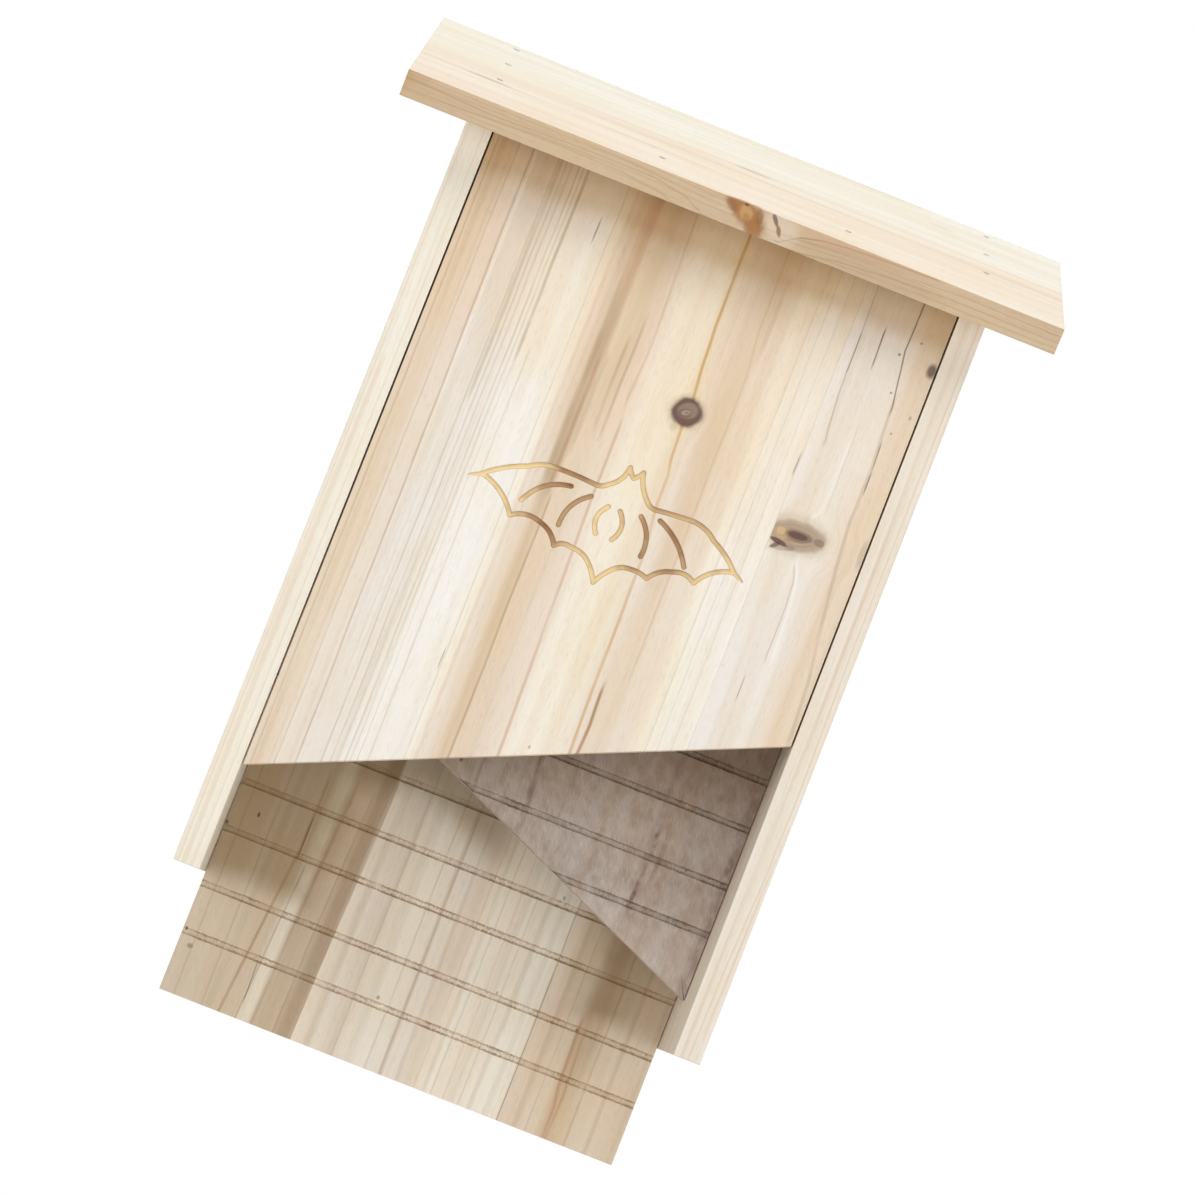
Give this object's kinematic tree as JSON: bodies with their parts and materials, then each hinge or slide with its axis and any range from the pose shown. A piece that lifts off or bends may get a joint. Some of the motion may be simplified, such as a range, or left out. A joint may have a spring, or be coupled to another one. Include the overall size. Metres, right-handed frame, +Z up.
{
  "type": "bat box",
  "caption": "Wall-hung timber bat box with a sloped roof, two chambers open at the bottom, opposed slanted baffles and a grooved landing board.",
  "frame": {"origin": "on the flat rear face of the back board, where it lies against the wall: on the box's centre line, 165 mm above the lower ends of the side boards", "axes": "+Y out of the rear face, into the wall, so the front faces -Y; +X to the right seen from the front; +Z up, along the box's height"},
  "size_m": [0.3, 0.1343, 0.4525],
  "materials": {
    "fir_roof": "planed bare fir, very pale, darker sawn front edge with a knot",
    "fir_sides": "planed bare fir",
    "fir_front": "planed bare fir in glued staves, with knots and a routed line figure",
    "fir_middle": "weathered grey-brown fir with grip grooves",
    "fir_back": "planed bare fir in glued staves, with grip grooves",
    "brad_steel": "bright steel wire, set just below the wood"
  },
  "bodies": {
    "root": {"roof_board": "fir_roof", "left_side": "fir_sides", "right_side": "fir_sides", "front_board": "fir_front", "middle_board": "fir_middle", "back_board": "fir_back", "roof_brad_left_1": "brad_steel", "roof_brad_left_2": "brad_steel", "roof_brad_left_3": "brad_steel", "roof_brad_right_1": "brad_steel", "roof_brad_right_2": "brad_steel", "roof_brad_right_3": "brad_steel", "roof_brad_front_left": "brad_steel", "roof_brad_front_right": "brad_steel", "front_brad_left_1": "brad_steel", "front_brad_left_2": "brad_steel", "front_brad_left_3": "brad_steel", "front_brad_right_1": "brad_steel", "front_brad_right_2": "brad_steel", "front_brad_right_3": "brad_steel", "middle_brad_left_1": "brad_steel", "middle_brad_left_2": "brad_steel", "middle_brad_left_3": "brad_steel", "middle_brad_right_1": "brad_steel", "middle_brad_right_2": "brad_steel", "middle_brad_right_3": "brad_steel", "back_brad_left_1": "brad_steel", "back_brad_left_2": "brad_steel", "back_brad_left_3": "brad_steel", "back_brad_right_1": "brad_steel", "back_brad_right_2": "brad_steel", "back_brad_right_3": "brad_steel"}
  },
  "joints": []
}
